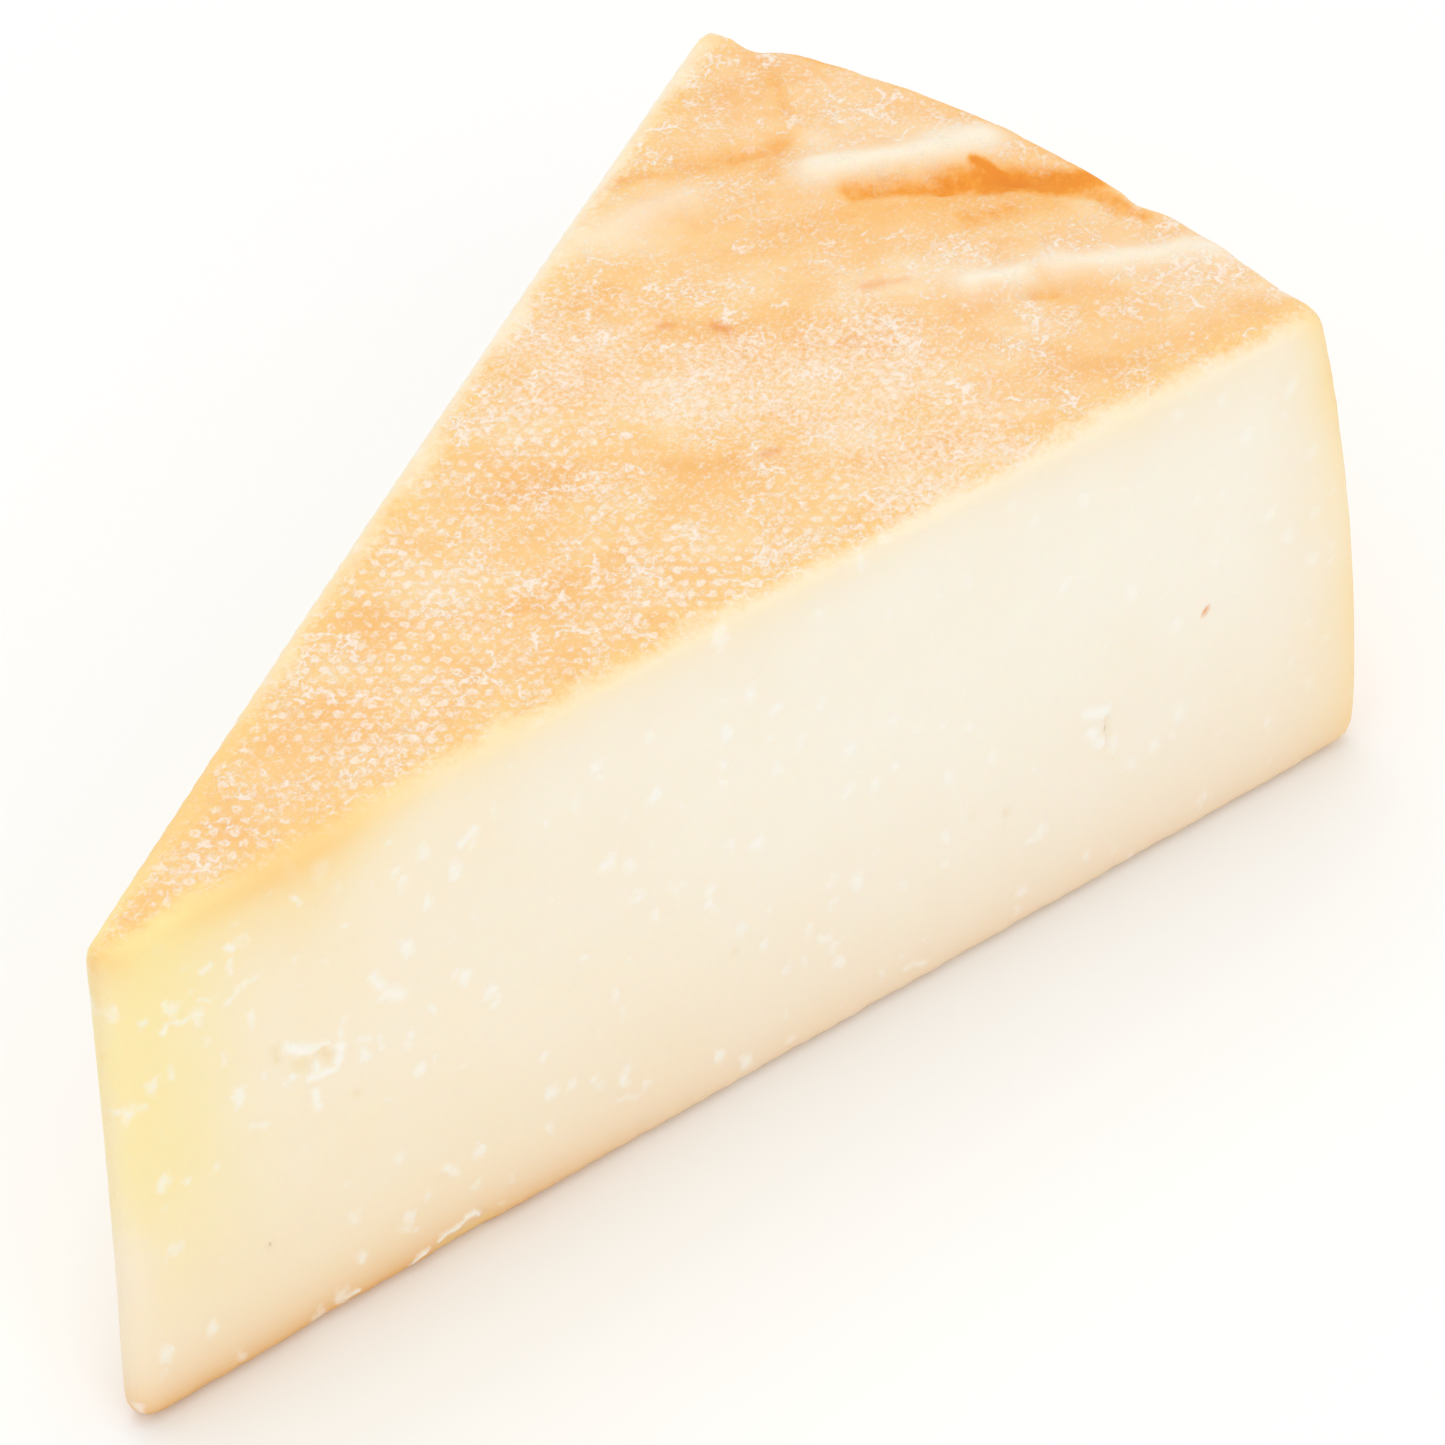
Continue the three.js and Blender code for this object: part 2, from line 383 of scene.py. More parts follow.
def ripening(places):
    """How yellow the paste is, from 0 in the heart to 1 right under the rind, where it has dried; paler
    right at the tip as a painted highlight, and a little yellower towards the tip and the bottom, partly
    as painted shade.
    """
    drift = 1.0 + 0.35 * noise_at(places.points, 16.0, 2, 41.0)
    tipward = 1.0 - step_up(24.0, 44.0, places.radius)
    band = 3.0 + 4.6 * tipward + 2.2 * step_up(95.0, 125.0, places.radius)
    under_top = (0.42 + 0.5 * tipward) * np.exp(-places.under_top / (band * drift))
    # Paler right at the tip: a painted highlight of the tip's edge.
    under_top *= 0.3 + 0.7 * step_up(1.5, 8.0, places.radius)
    under_heel = 0.72 * np.exp(-places.inside_heel / (5.5 * drift))
    under_heel *= 1.0 + 0.35 * step_up(34.0, 52.0, places.z)
    # Yellower towards the tip and the bottom: partly the paste's own tone, partly painted shade.
    heart = 0.3 * (1.0 - step_up(25.0, 105.0, places.radius))
    heart += 0.1 * (1.0 - step_up(8.0, 36.0, places.z))
    return np.clip(heart + np.maximum(under_top, under_heel), 0.0, 1.0)


def tip_tone(places):
    """How lemon yellow the paste is in the strip behind the tip, from 0 to 1."""
    radius = places.radius + 3.0 * noise_at(places.points, 14.0, 2, 46.0)
    strip = step_up(2.0, 7.5, radius) * (1.0 - step_up(8.5, 23.0, radius))
    return strip * step_up(6.0, 36.0, places.z)


def foot_tan_and_shade(places):
    """How tan the paste is towards the base, from 0 to 1: a tan band at the base's edge, with painted
    shade that darkens the paste for some way up from the base.
    """
    heelward = step_up(35.0, 75.0, places.radius)
    at_edge = (1.25 - 0.95 * heelward) * np.exp(-places.z / 2.8)
    # Painted shade: a soft darkening of the paste for some way up from the base.
    painted_shade_over_base = (0.13 + 0.1 * heelward) * np.exp(-places.z / 14.0)
    return np.clip(at_edge + painted_shade_over_base, 0.0, 1.0)


def wash_and_shade(places):
    """Where the rind is orange, from 0 to 1: washed orange in its hollows and patches, with painted shade
    along the furrows and cracks of its folds.
    """
    x = places.x + 0.9 * noise_at(places.points, 6.5, 2, 51.0)
    y = places.y + 0.9 * noise_at(places.points, 6.5, 2, 54.0)
    # Many strokes follow the furrows and cracks of the folds, where the orange is partly painted shade.
    marks = [
        ((118.0, 12.0), (141.0, -4.0), 4.0, 0.34),
        ((127.0, 9.4), (131.0, 6.2), 2.0, 0.66),
        ((131.0, 6.0), (137.6, 1.0), 1.8, 0.78),
        ((138.0, 3.2), (138.8, -2.4), 0.6, 1.1),
        ((137.0, 0.0), (140.6, -4.6), 2.5, 1.0),
        ((139.0, -3.4), (142.6, -7.6), 2.4, 0.95),
        ((130.5, -2.0), (135.0, -4.2), 2.4, 0.5),
        ((134.0, 1.0), (138.0, -6.5), 3.4, 0.42),
        ((113.0, 19.4), (121.0, 15.6), 3.0, 0.3),
        ((118.5, 25.6), (124.6, 22.6), 1.9, 0.36),
        ((124.0, 22.2), (129.0, 19.8), 1.9, 0.48),
        ((124.6, 17.6), (127.8, 21.0), 1.6, 0.38),
        ((136.8, 27.4), (133.2, 22.4), 1.0, 0.34),
        ((112.0, 29.2), (117.5, 27.0), 1.6, 0.45),
        ((127.6, -15.2), (125.0, -13.4), 0.8, 0.45),
        ((141.4, -9.4), (141.4, -15.0), 1.5, 0.6),
        ((141.0, 32.0), (144.3, 12.0), 1.3, 0.5),
        ((144.3, 12.0), (144.6, -6.0), 1.6, 0.55),
        ((127.0, -16.0), (124.0, -27.0), 3.5, 0.22),
    ]
    total = np.zeros(len(x))
    for start, end, half_width, strength in marks:
        total = np.maximum(total, strength * stroke(x, y, start, end, half_width))
    down_rim = places.under_top + 1.6 * noise_at(places.points, 5.0, 3, 57.0)
    return total * (1.0 - step_up(0.5, 5.5, down_rim))


def brown_spots(places):
    """Small brown bruises of the rind, and the one brown pinhole of the front cut."""
    marks = [
        ((103.3, 7.8), (103.6, 6.6), 0.6, 0.95),
        ((100.2, 11.8), (100.8, 11.0), 0.6, 0.7),
        ((116.2, -0.4), (117.6, -1.2), 0.8, 0.55),
        ((118.0, -1.6), (119.4, -2.8), 0.45, 0.4),
        ((91.6, -7.5), (92.6, -8.1), 0.6, 0.7),
    ]
    total = np.zeros(len(places.x))
    for start, end, half_width, strength in marks:
        total = np.maximum(total, strength * stroke(places.x, places.y, start, end, half_width))
    total *= 1.0 - step_up(1.0, 3.0, places.under_top)
    pinhole = 0.85 * stroke(places.radius, places.z, BROWN_PINHOLE, BROWN_PINHOLE, 0.34)
    return np.maximum(total, pinhole * places.on_front)


def crest_wear_and_light(places):
    """Where the highest folds of the rind stand proud and are paler, from 0 to 1: partly worn pale by
    rubbing, partly a painted highlight on their crests.
    """
    x = places.x + 1.0 * noise_at(places.points, 6.0, 2, 61.0)
    y = places.y + 1.0 * noise_at(places.points, 6.0, 2, 64.0)
    total = np.zeros(len(x))
    for start, end, half_width, rise in CLOTH_FOLDS:
        if rise > PALE_CREST_RISE:
            total = np.maximum(total, min(1.3 * rise, 1.0) * stroke(x, y, start, end, half_width))
    return total * (1.0 - step_up(1.5, 5.0, places.under_top))


def dusting(places):
    """Where the bloom lies thickest, in a broad band two thirds of the way to the heel, from 0 to 1."""
    radius = places.radius + 7.0 * noise_at(places.points, 18.0, 3, 67.0)
    radius += 0.25 * places.y  # the band lies nearer the tip on the back cut's side
    return step_up(82.0, 98.0, radius) * (1.0 - step_up(104.0, 114.0, radius))


# ---------------------------------------------------------------- the wedge's mesh


def even_copy(node):
    """The design's wedge as one even, smooth mesh."""
    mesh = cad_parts[node].data.copy()
    work = bmesh.new()
    work.from_mesh(mesh)
    bmesh.ops.remove_doubles(work, verts=work.verts, dist=0.01 * MM)
    bmesh.ops.join_triangles(
        work,
        faces=work.faces,
        angle_face_threshold=math.radians(20.0),
        angle_shape_threshold=math.radians(60.0),
    )
    work.to_mesh(mesh)
    work.free()
    coarse = bpy.data.objects.new("coarse_wedge", mesh)
    bpy.context.scene.collection.objects.link(coarse)
    rounded = coarse.modifiers.new("rounded", "SUBSURF")
    rounded.levels = 2
    rounded.render_levels = 2
    even = coarse.modifiers.new("even", "REMESH")
    even.mode = "VOXEL"
    even.voxel_size = MESH_PITCH * MM
    calm = coarse.modifiers.new("calm", "SMOOTH")
    calm.factor = 0.5
    calm.iterations = 3
    shown = coarse.evaluated_get(bpy.context.evaluated_depsgraph_get())
    fine = bpy.data.meshes.new_from_object(shown)
    bpy.data.objects.remove(coarse)
    return fine


def halve_faces(mesh):
    """Halves the faces of the upper rind, and of the places where the cuts are marked."""
    places = Places(mesh)
    rise, white = cut_marks(places)
    on_cut = places.from_cut < MESH_PITCH
    wanted = (places.under_top < RIND_DEPTH) | (on_cut & (np.maximum(np.abs(rise), white) > 0.08))
    work = bmesh.new()
    work.from_mesh(mesh)
    edges = [edge for edge in work.edges if all(wanted[vert.index] for vert in edge.verts)]
    bmesh.ops.subdivide_edges(work, edges=edges, cuts=1, use_grid_fill=True)
    work.to_mesh(mesh)
    work.free()


def store(mesh, name, values):
    """Keeps one number per vertex, or one vector, for the material to read."""
    kind = "FLOAT" if values.ndim == 1 else "FLOAT_VECTOR"
    layer = mesh.attributes.new(name, kind, "POINT")
    field = "value" if values.ndim == 1 else "vector"
    layer.data.foreach_set(field, values.astype(np.float32).ravel())


def make_wedge():
    mesh = even_copy("cheese_wedge")
    halve_faces(mesh)
    places = Places(mesh)
    flat = cloth_places(places)
    depth_of_print = print_depth(places)
    rise_of_marks, white_of_marks = cut_marks(places)

    on_rind = 1.0 - step_up(0.4, 2.2, places.from_rind)
    on_cut = 1.0 - step_up(0.2, 2.4, places.from_cut)
    above_base = step_up(0.0, 1.2, places.z)
    relief = on_rind * (1.0 - 0.92 * on_cut) * rind_relief(places, flat, depth_of_print)
    relief *= (0.25 + 0.75 * above_base) * (0.3 + 0.7 * step_up(0.0, 4.0, places.inside_heel))
    relief += on_cut * (1.0 - 0.6 * on_rind) * cut_relief(places, rise_of_marks)
    moved = places.points + places.normals * relief[:, None] + move_rim(places)
    moved[:, 2] = np.maximum(moved[:, 2], 0.0)

    heelward = step_up(95.0, 128.0, places.radius + 8.0 * noise_at(places.points, 14.0, 2, 74.0))
    ripeness = ripening(places)
    store(mesh, "from_cut", places.from_cut)
    store(mesh, "cloth_place", flat)
    store(mesh, "print_depth", depth_of_print)
    store(mesh, "heelward", heelward)
    store(mesh, "ripeness", ripeness)
    store(mesh, "tip_tone", tip_tone(places))
    store(mesh, "foot_tan_and_shade", foot_tan_and_shade(places))
    fewer_flecks = 1.0 - 0.4 * step_up(50.0, 115.0, places.radius)
    store(mesh, "fleck_share", fewer_flecks * (1.0 - 0.9 * ripeness))
    store(mesh, "white_mark", white_of_marks * on_cut)
    store(mesh, "pit_shade", np.clip(-1.6 * rise_of_marks, 0.0, 1.0) * on_cut)
    store(mesh, "wash_and_shade", wash_and_shade(places))
    store(mesh, "brown_spot", brown_spots(places))
    store(mesh, "crest_wear_and_light", crest_wear_and_light(places))
    store(mesh, "dusting", dusting(places))

    co = (moved + np.array([WHEEL_AXIS_X, 0.0, 0.0])) * MM
    mesh.vertices.foreach_set("co", co.ravel())
    mesh.update()
    mesh.shade_smooth()
    mesh.name = "cut_wedge"
    wedge = bpy.data.objects.new("cut_wedge", mesh)
    bpy.context.scene.collection.objects.link(wedge)
    return wedge


# ---------------------------------------------------------------- materials


def linear(code):
    """An sRGB hex colour as linear RGBA."""
    channels = [int(code[i:i + 2], 16) / 255.0 for i in (1, 3, 5)]
    return [c / 12.92 if c <= 0.04045 else ((c + 0.055) / 1.055) ** 2.4 for c in channels] + [1.0]


def add(tree, kind, inputs=None, output=0, stops=None, **settings):
    """Adds a shader node with its settings, its inputs as values or links, and a ramp's stops."""
    made = tree.nodes.new("ShaderNode" + kind)
    for name, value in settings.items():
        setattr(made, name, value)
    for socket, value in (inputs or {}).items():
        if isinstance(value, bpy.types.NodeSocket):
            tree.links.new(value, made.inputs[socket])
        else:
            made.inputs[socket].default_value = value
    if stops:
        ramp = made.color_ramp
        while len(ramp.elements) < len(stops):
            ramp.elements.new(0.5)
        for element, (position, colour) in zip(ramp.elements, stops):
            element.position = position
            element.color = colour
    return made.outputs[output] if made.outputs else made


MIX_A, MIX_B, MIX_RESULT = 6, 7, 2  # the colour sockets of a Mix node
COLOUR = {"data_type": "RGBA", "output": MIX_RESULT}


def bent_place(tree, place, size, reach):
    """The place, pushed about by noise of a size, by up to about half the reach, in millimetres."""
    push = add(tree, "TexNoise", {"Vector": place, "Scale": 1.0 / size, "Detail": 2.0}, "Color")
    push = add(tree, "VectorMath", {0: push, 1: (0.5, 0.5, 0.5)}, operation="SUBTRACT")
    push = add(tree, "VectorMath", {0: push, "Scale": reach}, operation="SCALE")
    return add(tree, "VectorMath", {0: place, 1: push}, operation="ADD")


def threads(tree, place, size, width):
    """1 on curly threads that lie about one size apart, 0 between them. The width is a share."""
    level = add(tree, "TexNoise", {"Vector": place, "Scale": 1.0 / size, "Detail": 3.0, "Roughness": 0.6})
    level = add(tree, "Math", {0: level, 1: 0.5}, operation="SUBTRACT")
    level = add(tree, "Math", {0: level}, operation="ABSOLUTE")
    return add(tree, "MapRange", {"Value": level, "From Max": width, "To Min": 1.0, "To Max": 0.0})


def cloth_dots(tree, cloth):
    """The rows of dots that the moulding cloth prints: 3 at the heart of a dot, -1.5 between dots."""
    total = None
    for turn in ROW_TURNS:
        angle = math.radians(turn)
        wave = 2.0 * math.pi / ROW_PITCH
        direction = (wave * math.cos(angle), wave * math.sin(angle), 0.0)
        phase = add(tree, "VectorMath", {0: cloth, 1: direction}, "Value", operation="DOT_PRODUCT")
        ripple = add(tree, "Math", {0: phase}, operation="COSINE")
        total = ripple if total is None else add(tree, "Math", {0: total, 1: ripple}, operation="ADD")
    return total


def paste_colour(tree, place, fine):
    """Paste: cream in the heart, through straw to ochre where it has dried, with white flecks.

    Gives the colour, and how white each place is.
    """
    ripeness = add(tree, "Attribute", output="Fac", attribute_name="ripeness")
    mottle = add(tree, "TexNoise", {"Vector": place, "Scale": MOTTLE, "Detail": 3.0})
    mottle = add(tree, "Math", {0: mottle, 1: 0.5}, operation="SUBTRACT")
    ripe = add(tree, "Math", {0: mottle, 1: 0.24, 2: ripeness}, operation="MULTIPLY_ADD")
    paste = add(tree, "ValToRGB", {"Fac": ripe}, stops=[
        (0.0, linear("#FAF2E3")),
        (0.25, linear("#FAEDD7")),
        (0.48, linear("#FBE9C8")),
        (0.7, linear("#FDE2B0")),
        (0.9, linear("#FDD898")),
        (1.0, linear("#FCD28B")),
    ])
    tip = add(tree, "Attribute", output="Fac", attribute_name="tip_tone")
    tip = add(tree, "Math", {0: tip, 1: 0.8}, operation="MULTIPLY")
    paste = add(tree, "Mix", {0: tip, MIX_A: paste, MIX_B: linear("#FEE9A6")}, **COLOUR)
    # Tan towards the base: a tan band at the edge, and painted shade higher up.
    foot_and_shade = add(tree, "Attribute", output="Fac", attribute_name="foot_tan_and_shade")
    paste = add(tree, "Mix", {0: foot_and_shade, MIX_A: paste, MIX_B: linear("#E8B26A")}, **COLOUR)

    # Lens-shaped flecks of 1 to 3 mm, where a grain of curd never quite knitted to its neighbours.
    bent = bent_place(tree, place, 2.2, 1.6)
    turned = add(tree, "Mapping", {"Vector": bent, "Scale": FLECK_SIZE}, vector_type="TEXTURE")
    grain = add(tree, "TexVoronoi", {"Vector": turned, "Scale": 1.0}, "Distance")
    chosen = add(tree, "TexVoronoi", {"Vector": turned, "Scale": 1.0}, "Color")
    chosen = add(tree, "SeparateColor", {"Color": chosen}, "Red")
    chosen = add(tree, "MapRange", {"Value": chosen, "From Min": 0.3, "From Max": 0.95})
    reach = add(tree, "Math", {0: chosen, 1: 0.42}, operation="MULTIPLY")
    fleck = add(tree, "Math", {0: reach, 1: grain}, operation="SUBTRACT")
    fleck = add(tree, "Math", {0: fine, 1: 0.7, 2: fleck}, operation="MULTIPLY_ADD")
    fleck = add(tree, "MapRange", {"Value": fleck, "From Max": 0.28, "To Max": 0.85})
    share = add(tree, "Attribute", output="Fac", attribute_name="fleck_share")
    fleck = add(tree, "Math", {0: fleck, 1: share}, operation="MULTIPLY")

    # The torn marks, with edges broken by the fine noise.
    mark = add(tree, "Attribute", output="Fac", attribute_name="white_mark")
    mark = add(tree, "Math", {0: fine, 1: 0.8, 2: mark}, operation="MULTIPLY_ADD")
    mark = add(tree, "MapRange", {"Value": mark, "From Min": 0.2, "From Max": 1.0, "To Max": 0.9})
    white = add(tree, "Math", {0: fleck, 1: mark}, operation="MAXIMUM")
    paste = add(tree, "Mix", {0: white, MIX_A: paste, MIX_B: linear("#FCF8F0")}, **COLOUR)
    # Darker yellow in the dents and pinholes of the cut: painted shade.
    pit_shade = add(tree, "Attribute", output="Fac", attribute_name="pit_shade")
    pit_shade = add(tree, "Math", {0: pit_shade, 1: 0.55}, operation="MULTIPLY")
    return add(tree, "Mix", {0: pit_shade, MIX_A: paste, MIX_B: linear("#F7DDA0")}, **COLOUR), white


def rind_bloom(tree, place):
    """White bloom, from 0 to 1: dust on the cloth's dots and round them, and curly threads, all ragged."""
    cloth = add(tree, "Attribute", output="Vector", attribute_name="cloth_place")
    dots = cloth_dots(tree, bent_place(tree, cloth, 1.3, 1.1))
    edge = add(tree, "MapRange", {"Value": dots, "From Min": -0.4, "From Max": 1.6})
    heart = add(tree, "MapRange", {"Value": dots, "From Min": 1.9, "From Max": 2.9, "To Max": 0.3})
    rings = add(tree, "Math", {0: edge, 1: heart}, operation="SUBTRACT")
    printed = add(tree, "Attribute", output="Fac", attribute_name="print_depth")
    kept = add(tree, "TexNoise", {"Vector": place, "Scale": PRINT_GAPS, "Detail": 2.0})
    kept = add(tree, "MapRange", {"Value": kept, "From Min": 0.28, "From Max": 0.5, "To Max": 0.95})
    printed = add(tree, "Math", {0: printed, 1: kept}, operation="MULTIPLY")
    rings = add(tree, "Math", {0: rings, 1: printed}, operation="MULTIPLY")

    curly = bent_place(tree, place, 3.0, 3.0)
    small = threads(tree, curly, 2.2, 0.08)
    large = threads(tree, curly, 7.0, 0.045)
    drift = add(tree, "TexNoise", {
        "Vector": place,
        "Scale": BLOOM_DRIFT,
        "Detail": 4.0,
        "Roughness": 0.65,
    })
    patches = add(tree, "MapRange", {"Value": drift, "From Min": 0.38, "From Max": 0.6})
    small = add(tree, "Math", {0: small, 1: patches}, operation="MULTIPLY")
    gaps = add(tree, "TexNoise", {"Vector": place, "Scale": THREAD_GAPS, "Detail": 3.0})
    gaps = add(tree, "MapRange", {"Value": gaps, "From Min": 0.44, "From Max": 0.58})
    large = add(tree, "Math", {0: large, 1: gaps}, operation="MULTIPLY")
    thread = add(tree, "Math", {0: small, 1: large}, operation="MAXIMUM")

    ragged = add(tree, "TexNoise", {
        "Vector": place,
        "Scale": BLOOM_CRUMB,
        "Detail": 3.0,
        "Roughness": 0.7,
    })
    ragged = add(tree, "Math", {0: ragged, 1: 0.5}, operation="SUBTRACT")
    thick = add(tree, "Attribute", output="Fac", attribute_name="dusting")
    dust = add(tree, "Math", {0: thick, 1: 0.4, 2: rings}, operation="MULTIPLY_ADD")
    dust = add(tree, "Math", {0: patches, 1: 0.35, 2: dust}, operation="MULTIPLY_ADD")
    dust = add(tree, "Math", {0: ragged, 1: 3.8, 2: dust}, operation="MULTIPLY_ADD")
    dust = add(tree, "MapRange", {"Value": dust, "From Min": 0.15, "From Max": 1.2, "To Max": 0.85})
    thread = add(tree, "Math", {0: ragged, 1: 2.2, 2: thread}, operation="MULTIPLY_ADD")
    thread = add(tree, "MapRange", {"Value": thread, "From Min": 0.42, "From Max": 0.95})
    return add(tree, "Math", {0: dust, 1: thread}, operation="MAXIMUM")


def rind_colour(tree, place, fine, bloom):
    """Rind: orange-tan skin with rusty streaks, yellower at its cut edges, under the bloom."""
    streaked = add(tree, "Mapping", {
        "Vector": bent_place(tree, place, 14.0, 9.0),
        "Rotation": (0.0, 0.0, STREAK_TURN),
        "Scale": STREAK_SIZE,
    }, vector_type="TEXTURE")
    streak = add(tree, "TexNoise", {"Vector": streaked, "Scale": 1.0, "Detail": 3.0, "Roughness": 0.55})
    patch = add(tree, "TexNoise", {"Vector": place, "Scale": SKIN_PATCH, "Detail": 4.0, "Roughness": 0.6})
    tone = add(tree, "Math", {0: streak, 1: patch}, operation="ADD")
    tone = add(tree, "Math", {0: tone, 1: 0.5}, operation="MULTIPLY")
    rind = add(tree, "ValToRGB", {"Fac": tone}, stops=[
        (0.37, linear("#F4BC74")),
        (0.47, linear("#F8C785")),
        (0.54, linear("#F9CC8C")),
        (0.64, linear("#FAD69E")),
    ])
    skin = add(tree, "ValToRGB", {"Fac": tone}, stops=[
        (0.37, linear("#F4BD7C")),
        (0.47, linear("#F7C88D")),
        (0.54, linear("#F8CE98")),
        (0.64, linear("#FADAB0")),
    ])
    heelward = add(tree, "Attribute", output="Fac", attribute_name="heelward")
    rind = add(tree, "Mix", {0: heelward, MIX_A: rind, MIX_B: skin}, **COLOUR)
    from_cut = add(tree, "Attribute", output="Fac", attribute_name="from_cut")
    near_cut = add(tree, "Math", {0: fine, 1: 8.0, 2: from_cut}, operation="MULTIPLY_ADD")
    near_cut = add(tree, "MapRange", {
        "Value": near_cut,
        "From Min": 1.0,
        "From Max": 6.0,
        "To Min": 0.85,
        "To Max": 0.0,
    })
    rind = add(tree, "Mix", {0: near_cut, MIX_A: rind, MIX_B: linear("#F9CF85")}, **COLOUR)

    bloom = add(tree, "Math", {0: bloom, 1: 0.9}, operation="MULTIPLY")
    rind = add(tree, "Mix", {0: bloom, MIX_A: rind, MIX_B: linear("#FCECDE")}, **COLOUR)
    # Paler crests of the highest folds: partly worn pale by rubbing, partly a painted highlight.
    pale_crest_wear_and_light = add(tree, "Attribute", output="Fac", attribute_name="crest_wear_and_light")
    rind = add(tree, "Mix", {0: pale_crest_wear_and_light, MIX_A: rind, MIX_B: linear("#FCEED8")}, **COLOUR)

    # Orange where washed, with painted shade along the furrows and cracks.
    washed_and_shaded = add(tree, "Attribute", output="Fac", attribute_name="wash_and_shade")
    ragged = add(tree, "Math", {0: fine, 1: 1.1, 2: 1.0}, operation="MULTIPLY_ADD")
    ragged = add(tree, "Math", {0: ragged, 1: washed_and_shaded}, operation="MULTIPLY")
    wash_and_shade_colour = add(tree, "ValToRGB", {"Fac": ragged}, stops=[
        (0.2, linear("#F9C06C")),
        (0.5, linear("#F7AA40")),
        (0.9, linear("#EE932A")),
    ])
    depth = add(tree, "MapRange", {"Value": ragged, "From Min": 0.0, "From Max": 0.72, "To Max": 0.97})
    return add(tree, "Mix", {0: depth, MIX_A: rind, MIX_B: wash_and_shade_colour}, **COLOUR)


def cheese_material():
    """Hard cheese: pressed curd, cut with a knife, with a rind that was brushed and washed.

    The cut gives a soft, faintly waxy surface that light enters a little way. The rind is drier and
    gives a matt, dusty one.
    """
    material = bpy.data.materials.new("hard_cheese_paste_and_washed_rind")
    material.use_nodes = True
    tree = material.node_tree
    tree.nodes.clear()

    metres = add(tree, "TexCoord", output="Object")
    place = add(tree, "Mapping", {"Vector": metres, "Scale": (1000.0, 1000.0, 1000.0)})
    fine = add(tree, "TexNoise", {"Vector": place, "Scale": GRIT, "Detail": 4.0, "Roughness": 0.65})
    fine = add(tree, "Math", {0: fine, 1: 0.5}, operation="SUBTRACT")

    paste, white = paste_colour(tree, place, fine)
    bloom = rind_bloom(tree, place)
    rind = rind_colour(tree, place, fine, bloom)

    # The rind starts a little behind the cut, at a border that wanders and is ragged.
    from_cut = add(tree, "Attribute", output="Fac", attribute_name="from_cut")
    wander = add(tree, "TexNoise", {"Vector": place, "Scale": BORDER_WANDER, "Detail": 3.0})
    wander = add(tree, "Math", {0: wander, 1: 0.5}, operation="SUBTRACT")
    wander = add(tree, "Math", {0: wander, 1: 5.0}, operation="MULTIPLY")
    wander = add(tree, "Math", {0: fine, 1: 4.0, 2: wander}, operation="MULTIPLY_ADD")
    behind = add(tree, "MapRange", {"Value": from_cut, "From Min": 0.3, "From Max": 2.0})
    border = add(tree, "Math", {0: wander, 1: behind, 2: from_cut}, operation="MULTIPLY_ADD")
    cover = add(tree, "MapRange", {"Value": border, "From Min": 0.6, "From Max": 3.0})
    colour = add(tree, "Mix", {0: cover, MIX_A: paste, MIX_B: rind}, **COLOUR)
    brown = add(tree, "Attribute", output="Fac", attribute_name="brown_spot")
    colour = add(tree, "Mix", {0: brown, MIX_A: colour, MIX_B: linear("#F0A45C")}, **COLOUR)

    # Fine relief in millimetres: dots, threads and dust on the rind, curd grain and flecks on the cut.
    rind_height = add(tree, "Math", {0: bloom, 1: 0.10}, operation="MULTIPLY")
    grain = add(tree, "TexNoise", {"Vector": place, "Scale": CURD_GRAIN, "Detail": 4.0, "Roughness": 0.6})
    cut_height = add(tree, "Math", {0: white, 1: 0.08}, operation="MULTIPLY")
    cut_height = add(tree, "Math", {0: grain, 1: 0.10, 2: cut_height}, operation="MULTIPLY_ADD")
    height = add(tree, "Mix", {0: cover, 2: cut_height, 3: rind_height}, data_type="FLOAT")
    bump = add(tree, "Bump", {"Height": height, "Strength": 0.6, "Distance": MM}, "Normal")

    roughness = add(tree, "MapRange", {"Value": cover, "To Min": 0.5, "To Max": 0.78})
    shader = add(tree, "BsdfPrincipled", {
        "Base Color": colour,
        "Roughness": roughness,
        "Normal": bump,
        "IOR": 1.46,
        "Specular IOR Level": 0.3,
        "Subsurface Weight": 0.3,
        "Subsurface Radius": (1.0, 0.6, 0.3),
        "Subsurface Scale": 2.0 * MM,
    })
    add(tree, "OutputMaterial", {"Surface": shader})
    return material


# ---------------------------------------------------------------- stage, light and camera


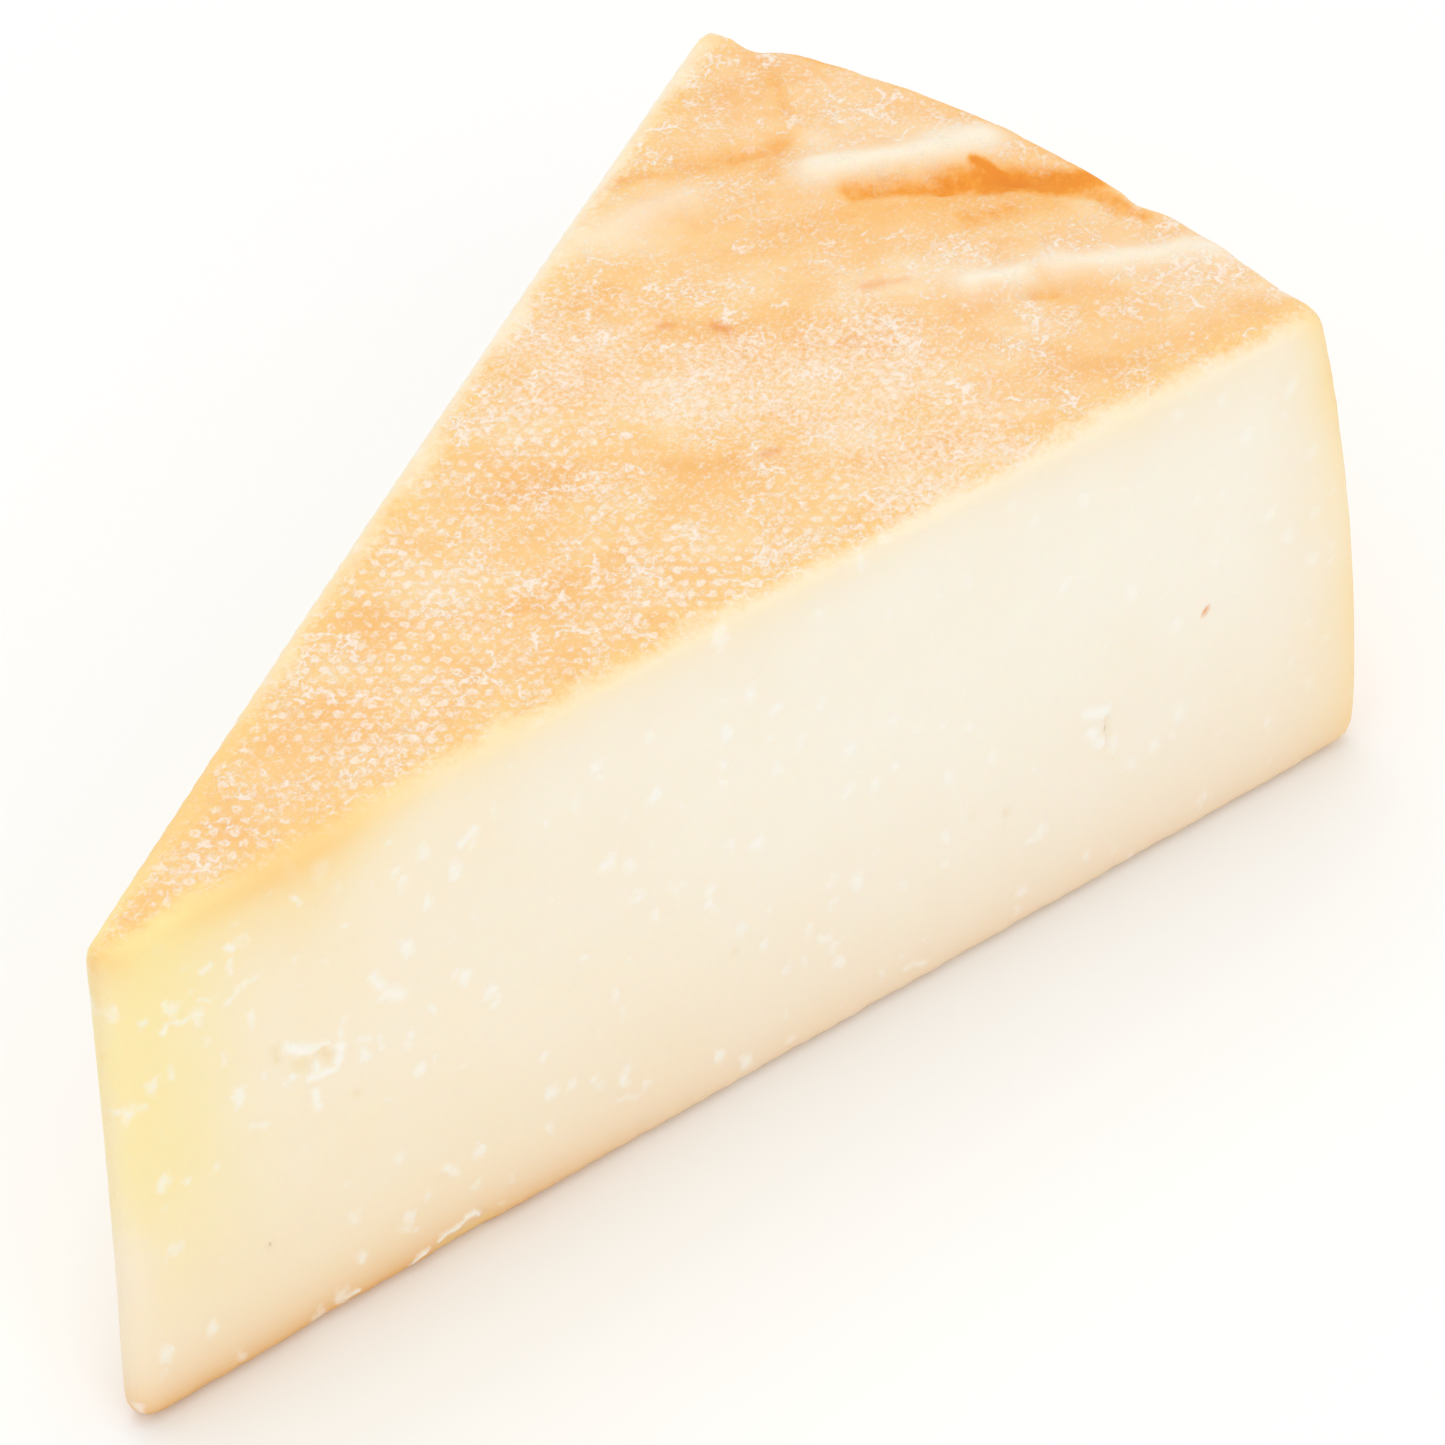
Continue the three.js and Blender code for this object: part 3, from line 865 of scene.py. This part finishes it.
def make_floor():
    mesh = bpy.data.meshes.new("floor")
    work = bmesh.new()
    bmesh.ops.create_grid(work, x_segments=1, y_segments=1, size=2.0)
    work.to_mesh(mesh)
    work.free()
    floor = bpy.data.objects.new("floor", mesh)
    bpy.context.scene.collection.objects.link(floor)
    material = bpy.data.materials.new("matt_white_paper")
    material.use_nodes = True
    shader = material.node_tree.nodes["Principled BSDF"]
    shader.inputs["Base Color"].default_value = linear("#FBFBFA")
    shader.inputs["Roughness"].default_value = 0.9
    shader.inputs["Specular IOR Level"].default_value = 0.1
    mesh.materials.append(material)


def make_light():
    """An even, shadowless room, with a softbox overhead and a weaker one before the cut."""
    world = bpy.data.worlds.new("soft_white_room")
    world.use_nodes = True
    background = world.node_tree.nodes["Background"]
    background.inputs["Color"].default_value = (1.0, 1.0, 1.0, 1.0)
    background.inputs["Strength"].default_value = 0.83
    bpy.context.scene.world = world
    for name, place, size, power in (
        ("overhead_softbox", (0.25, 0.35, 1.5), 1.4, 5.2),
        ("front_softbox", (-0.5, -1.1, 0.8), 1.2, 2.4),
    ):
        light = bpy.data.lights.new(name, "AREA")
        light.shape = "DISK"
        light.size = size
        light.energy = power
        lamp = bpy.data.objects.new(name, light)
        bpy.context.scene.collection.objects.link(lamp)
        lamp.location = place
        lamp.rotation_euler = (-Vector(place)).to_track_quat("-Z", "Y").to_euler()


def make_camera():
    """A long lens from in front of the tip, looking down on the top and the front cut."""
    azimuth = math.radians(-49.19)
    elevation = math.radians(44.13)
    roll = math.radians(3.41)
    distance = 768.8 * MM
    target = Vector(((84.7 + WHEEL_AXIS_X) * MM, -6.3 * MM, 30.0 * MM))
    back = Vector((
        math.sin(azimuth) * math.cos(elevation),
        -math.cos(azimuth) * math.cos(elevation),
        math.sin(elevation),
    ))
    level_right = (-back).cross(Vector((0.0, 0.0, 1.0))).normalized()
    level_up = level_right.cross(-back)
    right = math.cos(roll) * level_right - math.sin(roll) * level_up
    up = math.sin(roll) * level_right + math.cos(roll) * level_up
    camera = bpy.data.objects.new("camera", bpy.data.cameras.new("camera"))
    bpy.context.scene.collection.objects.link(camera)
    camera.data.lens = 200.0
    camera.data.sensor_width = 36.0
    turn = Matrix((right, up, back)).transposed().to_4x4()
    camera.matrix_world = Matrix.Translation(target + back * distance) @ turn
    bpy.context.scene.camera = camera


wedge = make_wedge()
wedge.data.materials.clear()
wedge.data.materials.append(cheese_material())
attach(wedge, "root")
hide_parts("cheese_wedge")

make_floor()
make_light()
make_camera()
bpy.context.scene.view_settings.view_transform = "Standard"
